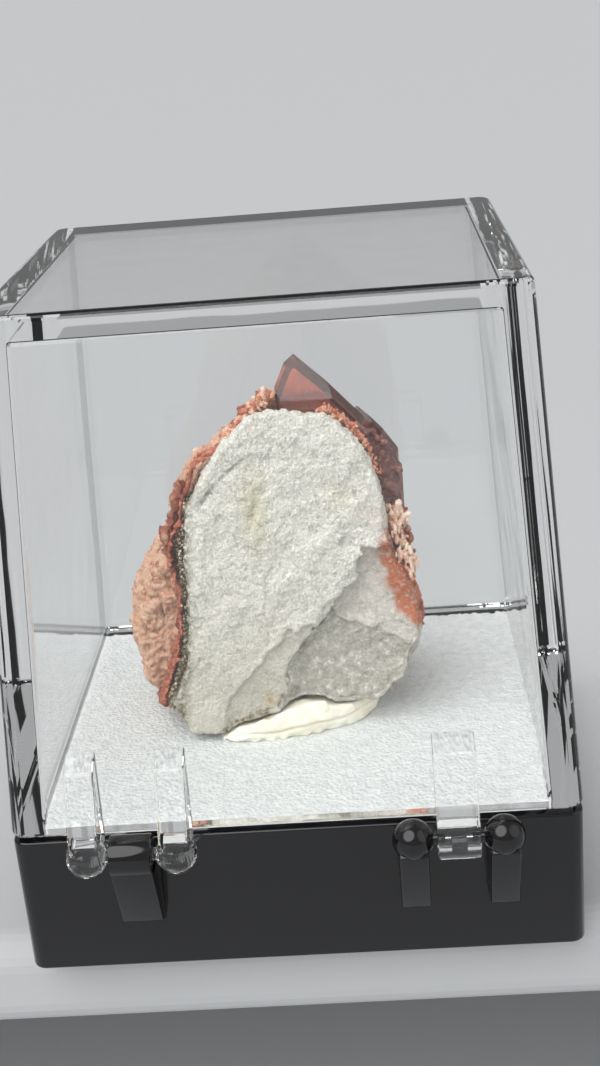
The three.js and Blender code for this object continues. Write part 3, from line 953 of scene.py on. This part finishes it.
crumbs = scattered((CRUST_CRUMBS, add_crumb), (RIGHT_CRUMBS, add_right_crumb))
crust_mesh = fused(crumbs, CRUST_VOXEL)
push_out(crust_mesh, crust_relief)
crust, crust_tree, crust_shader = material_of("brick red crust", (0.32, 0.07, 0.035), 0.5)
crust_colour = ramp(
    crust_tree,
    grain(crust_tree, 0.7, 6, 0.75),
    (0.34, (0.12, 0.024, 0.014)),
    (0.48, (0.44, 0.11, 0.055)),
    (0.64, (0.72, 0.27, 0.16)),
)
crust_tree.links.new(crust_colour, crust_shader.inputs["Base Color"])
bump(crust_tree, crust_shader, (grain(crust_tree, 0.18, 5, 0.75), 0.07))
placed(crust_mesh, "red_crust", crust, "base")

# Seam grains: black, olive and ochre grains between the crust and the white quartz.
SEAM_PATH = (
    (-7.1, -3.1, 31.2), (-7.5, -3.2, 29.6), (-8.0, -3.2, 28.0), (-8.2, -3.3, 26.0), (-8.1, -3.5, 24.0),
    (-8.1, -3.6, 22.0), (-8.3, -3.7, 20.0), (-8.7, -3.8, 18.2), (-9.3, -3.8, 16.6), (-10.0, -3.7, 15.0),
    (-9.9, -3.7, 13.9),
)
SEAM_GRAINS = 1300
SEAM_FRONT = -0.75
SEAM_BACK = 1.2


def add_seam_grain(shape):
    place = on_path(SEAM_PATH, chance.random())
    aside, forward = chance.gauss(0.08, 0.12), chance.uniform(SEAM_FRONT, SEAM_BACK)
    place += Vector((aside, forward, chance.gauss(0, 0.1)))
    add_grain(shape, place, chance.uniform(0.05, 0.13))


seam, seam_tree, seam_shader = material_of("dark seam grains", (0.1, 0.09, 0.05), 0.4)
seam_colour = ramp(
    seam_tree,
    attribute(seam_tree, "tint"),
    (0.0, (0.02, 0.018, 0.013)),
    (0.3, (0.08, 0.068, 0.036)),
    (0.55, (0.22, 0.18, 0.085)),
    (0.75, (0.38, 0.26, 0.12)),
    (1.0, (0.66, 0.62, 0.54)),
)
seam_tree.links.new(seam_colour, seam_shader.inputs["Base Color"])
bump(seam_tree, seam_shader, (grain(seam_tree, 0.12, 3), 0.02))
seam_shape = scattered((SEAM_GRAINS, add_seam_grain))
finished(seam_shape, "seam_grains", seam, "base", smooth=False)

# Druse: small quartz points, orange and pink with iron, along the top edges, down the right edge
# and over the natural outer side at the back.
BROW_PATH = (
    (3.4, -2.5, 37.35), (4.1, -2.6, 37.3), (5.2, -2.7, 36.6), (6.1, -2.7, 35.6), (6.9, -2.7, 34.2),
    (7.5, -2.6, 32.0),
)
DRUSE_ROWS = (
    (540, TOP_PATH, (-0.4, -0.5, 0.8), 0.42, (0.26, 0.62), 0.7),
    (300, BROW_PATH, (0.1, -0.5, 1.0), 0.28, (0.14, 0.32), 0.45),
    (60, RIGHT_PATH, (0.7, -0.8, 0.2), 0.42, (0.25, 0.5), 0.8),
)
LONG_POINTS = (
    ((8.9, -2.3, 28.9), (0.15, -0.4, 1.0), 1.5),
    ((9.2, -2.2, 28.2), (0.9, -0.3, 0.6), 1.3),
    ((8.6, -2.4, 28.4), (-0.4, -0.6, 0.9), 1.1),
    ((-0.7, -1.3, 38.5), (0.1, -0.2, 1.0), 1.0),
    ((-1.3, -1.3, 38.0), (-0.4, -0.3, 1.0), 0.8),
)
LONG_TINT = 0.85
BACK_POINTS = 420
BACK_START = 2.5
SLIM = 0.3


def random_vector(size):
    """A push of about this size in any direction."""
    return size * Vector([chance.gauss(0, 1) for _ in range(3)])


def add_quartz_point(shape, place, direction, radius, length, palest=1.0):
    """A six-sided prism under an uneven pyramid."""
    turn = direction.to_track_quat("Z", "Y") @ Euler((0, 0, chance.uniform(0, 1))).to_quaternion()
    made = bmesh.ops.create_cone(
        shape,
        cap_ends=True,
        segments=6,
        radius1=radius * 0.9,
        radius2=radius,
        depth=length,
        matrix=Matrix.Translation(place) @ turn.to_matrix().to_4x4(),
    )["verts"]
    axis = turn @ Vector((0, 0, 1))
    caps = {face for vert in made for face in vert.link_faces if len(face.verts) == 6}
    top = max(caps, key=lambda face: face.calc_center_median().dot(axis))
    apex = bmesh.ops.poke(shape, faces=[top])["verts"][0]
    sideways = Vector((chance.uniform(-1, 1), chance.uniform(-1, 1), 0)) * radius * 0.35
    apex.co += axis * radius * 1.25 + turn @ sideways
    tint(shape, [*made, apex], palest)


def row_druse(path, outward, scatter, lengths, palest):
    """A function that adds one point of a row."""

    def add_one(shape):
        place = on_path(path, chance.random()) + random_vector(scatter * 0.5)
        direction = (Vector(outward) + random_vector(0.5)).normalized()
        length = chance.uniform(*lengths)
        add_quartz_point(shape, place, direction, SLIM * length + 0.03, length, palest)

    return add_one


back_places = [
    vert for vert in host_mesh.vertices if vert.normal.y > 0.6 and vert.co.y > BACK_START * MM
]


def add_back_point(shape):
    """One point on the back, at times longer where the rock faces straight back."""
    vert = back_places[int(chance.random() * len(back_places))]
    length = 0.35 + (vert.normal.y - 0.3) * 1.4 * chance.random() ** 2
    direction = (vert.normal + random_vector(0.3)).normalized()
    add_quartz_point(shape, vert.co / MM, direction, SLIM * length, length)


druse_kinds = [(count, row_druse(*row)) for count, *row in DRUSE_ROWS]
druse_shape = scattered(*druse_kinds, (BACK_POINTS, add_back_point))
long_shape = tinted_shape()
for place, direction, length in LONG_POINTS:
    add_quartz_point(long_shape, Vector(place), Vector(direction).normalized(), 0.2 * length, length)
for vert in long_shape.verts:
    vert[long_shape.verts.layers.float["tint"]] = LONG_TINT
join_into(druse_shape, in_metres(long_shape))

druse, druse_tree, druse_shader = material_of(
    "orange pink druse",
    (0.6, 0.32, 0.22),
    0.25,
    {"IOR": QUARTZ_IOR, "Subsurface Weight": 0.15, "Subsurface Scale": 0.4 * MM},
)
druse_colour = ramp(
    druse_tree,
    attribute(druse_tree, "tint"),
    (0.0, (0.5, 0.13, 0.06)),
    (0.3, (0.68, 0.32, 0.2)),
    (0.65, (0.82, 0.56, 0.43)),
    (1.0, (0.95, 0.8, 0.68)),
)
druse_tree.links.new(druse_colour, druse_shader.inputs["Base Color"])
finished(druse_shape, "quartz_druse", druse, "base", smooth=False)

# Peach knobs: rounded, upright crystals with a sugary skin in the druse on the right edge.
KNOB_PATH = (
    (8.5, -2.2, 29.0), (8.8, -2.4, 27.6), (9.1, -2.6, 26.0), (9.4, -2.6, 24.8), (9.8, -2.4, 23.6),
)
PEACH_KNOBS = 125
KNOB_VOXEL = 0.07


def add_knob(shape):
    """One nearly upright knob, three times as tall as it is wide."""
    place = on_path(KNOB_PATH, chance.random()) + random_vector(0.32)
    turn = Euler((chance.gauss(0, 0.25), chance.gauss(0.1, 0.25), chance.uniform(0, 6)))
    add_grain(shape, place, chance.uniform(0.13, 0.27), (0.65, 0.65, 1.9), turn, 2)


knob_mesh = fused(scattered((PEACH_KNOBS, add_knob)), KNOB_VOXEL)
push_out(knob_mesh, lambda place, normal: 0.06 * noise.noise(place * 5))
peach, peach_tree, peach_shader = material_of(
    "peach quartz",
    (0.72, 0.46, 0.34),
    0.35,
    {"Subsurface Weight": 0.2, "Subsurface Scale": 0.4 * MM},
)
peach_colour = ramp(
    peach_tree,
    grain(peach_tree, 0.7, 5, 0.7),
    (0.32, (0.6, 0.22, 0.11)),
    (0.42, (0.8, 0.5, 0.36)),
    (0.6, (0.92, 0.74, 0.61)),
)
peach_tree.links.new(peach_colour, peach_shader.inputs["Base Color"])
bump(peach_tree, peach_shader, (grain(peach_tree, 0.15, 4, 0.7), 0.05))
placed(knob_mesh, "peach_knobs", peach, "base")

# Hematoid crystal: a six-sided quartz prism with a three-faced point, grown together with a smaller
# twin. Its skin is clear and faintly pink, over an older crystal full of hematite, the phantom.
CRYSTAL_TIP = Vector((1.7, 1.3, 40.8))
RHOMB_SLOPE = 1.27
CRYSTAL_FOOT = 16.0
CRYSTAL_EDGE = 0.045
BLOCK_MIDDLE = (4.7, 2.6, 30)
BLOCK_SIZE = 80
POINT_DEPTH = 0.75
PRISM_DEPTH = 0.3
# Heights over which the phantom's painted light brightens towards the tip.
LIT_TIP_HEIGHTS = (36.8, 39.6)
PRISM_FACES = (
    (-94, (3.4, -1.2)), (-34, (6.3, -1.2)), (26, (9.35, 4.1)), (86, (5.0, 6.4)), (146, (0.1, -0.3)),
    (206, (0.6, -1.2)),
)
POINT_FACES = ((-94, 0), (26, 0), (146, 0), (-34, 1.9), (86, 2.3), (206, 1.2))
TWIN = ((6.3, 0.8, 36.5), 0.38, 6.6)


def cut_crystal(foot, point_inset=0.0, prism_inset=0.0):
    """A block cut down to the crystal's faces, each moved in by its inset."""
    planes = [(Vector((0, 0, foot)), Vector((0, 0, -1)))]
    for azimuth, (x, y) in PRISM_FACES:
        turn = math.radians(azimuth)
        normal = Vector((math.cos(turn), math.sin(turn), 0))
        planes.append((Vector((x, y, 0)) - normal * prism_inset, normal))
    for azimuth, lift in POINT_FACES:
        turn = math.radians(azimuth)
        normal = Vector((RHOMB_SLOPE * math.cos(turn), RHOMB_SLOPE * math.sin(turn), 1)).normalized()
        planes.append((CRYSTAL_TIP + Vector((0, 0, lift)) - normal * point_inset, normal))
    shape = bmesh.new()
    bmesh.ops.create_cube(shape, size=BLOCK_SIZE, matrix=Matrix.Translation(BLOCK_MIDDLE))
    for place, normal in planes:
        bmesh.ops.bisect_plane(
            shape,
            geom=shape.verts[:] + shape.edges[:] + shape.faces[:],
            dist=1e-5,
            plane_co=place,
            plane_no=normal,
            clear_outer=True,
        )
        bmesh.ops.holes_fill(shape, edges=[edge for edge in shape.edges if edge.is_boundary])
    bmesh.ops.recalc_face_normals(shape, faces=shape.faces)
    return shape


def small_crystal(tip, scale, length, point_inset=0.0, prism_inset=0.0):
    """A smaller copy of the crystal with its own tip and length."""
    shape = cut_crystal(CRYSTAL_TIP.z - length / scale, point_inset / scale, prism_inset / scale)
    place = Matrix.Translation(tip) @ Matrix.Scale(scale, 4) @ Matrix.Translation(-CRYSTAL_TIP)
    bmesh.ops.transform(shape, matrix=place, verts=shape.verts)
    return shape


crystal_forms = [cut_crystal(CRYSTAL_FOOT), small_crystal(*TWIN)]
for form in crystal_forms:
    soften(form, sharp_edges(form, 10), CRYSTAL_EDGE, 2)
large, twin = [solid_object(form, "crystal form") for form in crystal_forms]
crystal_mesh = combined(large, [twin], "UNION")
crystal_mesh.transform(Matrix.Scale(MM, 4))
pink, pink_tree, pink_shader = material_of(
    "clear pink quartz",
    (0.52, 0.33, 0.26),
    0.06,
    {"IOR": QUARTZ_IOR, "Transmission Weight": 0.96},
)
absorption = add_node(
    pink_tree,
    "ShaderNodeVolumeAbsorption",
    {"Color": (0.78, 0.42, 0.33, 1), "Density": 360},
)
pink_tree.links.new(
    absorption.outputs["Volume"], pink_tree.nodes["Material Output"].inputs["Volume"]
)
growth_lines = add_node(
    pink_tree,
    "ShaderNodeTexWave",
    {
        "Vector": add_node(pink_tree, "ShaderNodeTexCoord").outputs["Object"],
        "Scale": 260,
        "Distortion": 2.5,
        "Detail": 3,
    },
    bands_direction="Z",
).outputs["Fac"]
bump(pink_tree, pink_shader, (grain(pink_tree, 1.2, 3), 0.015), (growth_lines, 0.006))
crystal = placed(crystal_mesh, "quartz_crystal", pink, "base", smooth=False)
crystal.visible_shadow = False
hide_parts("hematoid_crystal")

phantom_shape = cut_crystal(CRYSTAL_FOOT + 0.5, POINT_DEPTH, PRISM_DEPTH)
join_into(phantom_shape, small_crystal(*TWIN, 0.5 * POINT_DEPTH, PRISM_DEPTH))
phantom, phantom_tree, phantom_shader = material_of("hematite phantom", (0.4, 0.12, 0.07), 0.55)
height = add_node(
    phantom_tree,
    "ShaderNodeSeparateXYZ",
    {0: add_node(phantom_tree, "ShaderNodeTexCoord").outputs["Object"]},
).outputs["Z"]
# The phantom's own rust red. It is painted bright near the tip as light shining through the thin point,
# and near black lower down as painted shade inside the thick crystal.
rust_and_lit_tip = ramp(
    phantom_tree,
    spread(phantom_tree, height, *[level * MM for level in LIT_TIP_HEIGHTS]),
    (0.0, (0.14, 0.022, 0.012)),
    (0.36, (0.18, 0.028, 0.013)),
    (0.5, (0.55, 0.13, 0.055)),
    (1.0, (0.68, 0.24, 0.12)),
)
phantom_colour = mix(
    phantom_tree,
    spread(phantom_tree, drawn_grain(phantom_tree, 0.5, 2.5, 6, 0.75), 0.44, 0.62, 0, 0.85),
    rust_and_lit_tip,
    (0.3, 0.07, 0.035),
)
rusty_specks = spread(phantom_tree, grain(phantom_tree, 0.35, 5, 0.75), 0.6, 0.66, 0, 0.8)
phantom_colour = mix(phantom_tree, rusty_specks, phantom_colour, (0.75, 0.25, 0.1))
phantom_tree.links.new(phantom_colour, phantom_shader.inputs["Base Color"])
finished(
    in_metres(phantom_shape), "hematite_phantom", phantom, "base", smooth=False
)

# Side crystals: a knobbly mauve group on the large crystal's right front, dusted with orange.
SIDE_CRYSTALS = (
    ((6.2, -1.6, 36.1), 0.2, 3.4), ((7.0, -1.5, 35.2), 0.18, 3.0), ((7.5, -1.2, 34.4), 0.2, 3.0),
    ((7.4, -1.1, 33.2), 0.19, 2.8), ((7.9, -0.8, 32.3), 0.2, 2.8),
)
SIDE_PATH = ((6.6, -1.8, 35.4), (7.8, -1.4, 34.2), (8.4, -1.2, 33.0), (8.7, -0.9, 31.4))
SIDE_KNOBS = 70
SIDE_VOXEL = 0.09


def add_side_knob(shape):
    place = on_path(SIDE_PATH, chance.random()) + random_vector(0.28)
    add_grain(shape, place, chance.uniform(0.18, 0.4), subdivisions=2)


side_shape = scattered((SIDE_KNOBS, add_side_knob))
for side_crystal in SIDE_CRYSTALS:
    join_into(side_shape, in_metres(small_crystal(*side_crystal)))
side_mesh = fused(side_shape, SIDE_VOXEL)
push_out(side_mesh, lambda place, normal: 0.07 * noise.noise(place * 3) - 0.05)
mauve, mauve_tree, mauve_shader = material_of(
    "mauve quartz",
    (0.32, 0.17, 0.165),
    0.16,
    {"IOR": QUARTZ_IOR, "Transmission Weight": 0.25},
)
mauve_colour = ramp(
    mauve_tree,
    grain(mauve_tree, 0.9, 5, 0.7),
    (0.36, (0.1, 0.022, 0.013)),
    (0.52, (0.24, 0.09, 0.075)),
    (0.68, (0.42, 0.22, 0.2)),
)
dust = spread(mauve_tree, grain(mauve_tree, 0.45, 5, 0.75), 0.56, 0.64)
mauve_colour = mix(mauve_tree, dust, mauve_colour, (0.55, 0.2, 0.1))
mauve_tree.links.new(mauve_colour, mauve_shader.inputs["Base Color"])
bump(mauve_tree, mauve_shader, (grain(mauve_tree, 0.3, 3), 0.05))
placed(side_mesh, "side_crystals", mauve, "base")

# Lid: one clear moulding with slightly tapered walls. Its two balls and its strap, on legs of their
# own, snap on to the base's barrel and balls.
LID_BOTTOM = BASE_HEIGHT + 0.3
LID_TOP = 49.1
LID_WALL = 2.1
LID_ROUNDING = 0.45
INNER_ROUNDING = 0.3

outside = upright_block(BOX_WIDTH, BOX_DEPTH, LID_BOTTOM, LID_TOP, CORNER_RADIUS, LID_DRAFT)
soften(outside, sharp_edges(outside), LID_ROUNDING, 4)
inside = upright_block(
    BOX_WIDTH - 2 * LID_WALL,
    BOX_DEPTH - 2 * LID_WALL,
    LID_BOTTOM - CUT_PAST,
    LID_TOP - LID_WALL,
    INNER_CORNER,
    LID_DRAFT,
)
for vert in inside.verts:
    vert.co.x += math.copysign(CUT_PAST * LID_DRAFT, vert.co.x)
    vert.co.y += math.copysign(CUT_PAST * LID_DRAFT, vert.co.y)
soften(inside, sharp_edges(inside), INNER_ROUNDING)
lid_mesh = combined(
    solid_object(outside, "lid outside"), [solid_object(inside, "lid inside")], "DIFFERENCE"
)
lid_form = bpy.data.objects.new("lid form", lid_mesh)
scene.collection.objects.link(lid_form)
knuckles = ball_hinge(-HINGE_SPACING / 2, True) + barrel_hinge(HINGE_SPACING / 2, True)
lid_mesh = combined(lid_form, [solid_object(part, "lid knuckle") for part in knuckles], "UNION")
lid_mesh.transform(Matrix.Scale(MM, 4))
clear, clear_tree, clear_shader = material_of(
    "clear styrene", (0.985, 0.99, 0.99), 0.02, {"IOR": 1.49, "Transmission Weight": 1.0}
)
bump(clear_tree, clear_shader, (grain(clear_tree, 14, 2), 0.02))
lid = placed(lid_mesh, "clear_lid", clear, "lid", smooth=False)
lid.visible_shadow = False
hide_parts("box_lid")
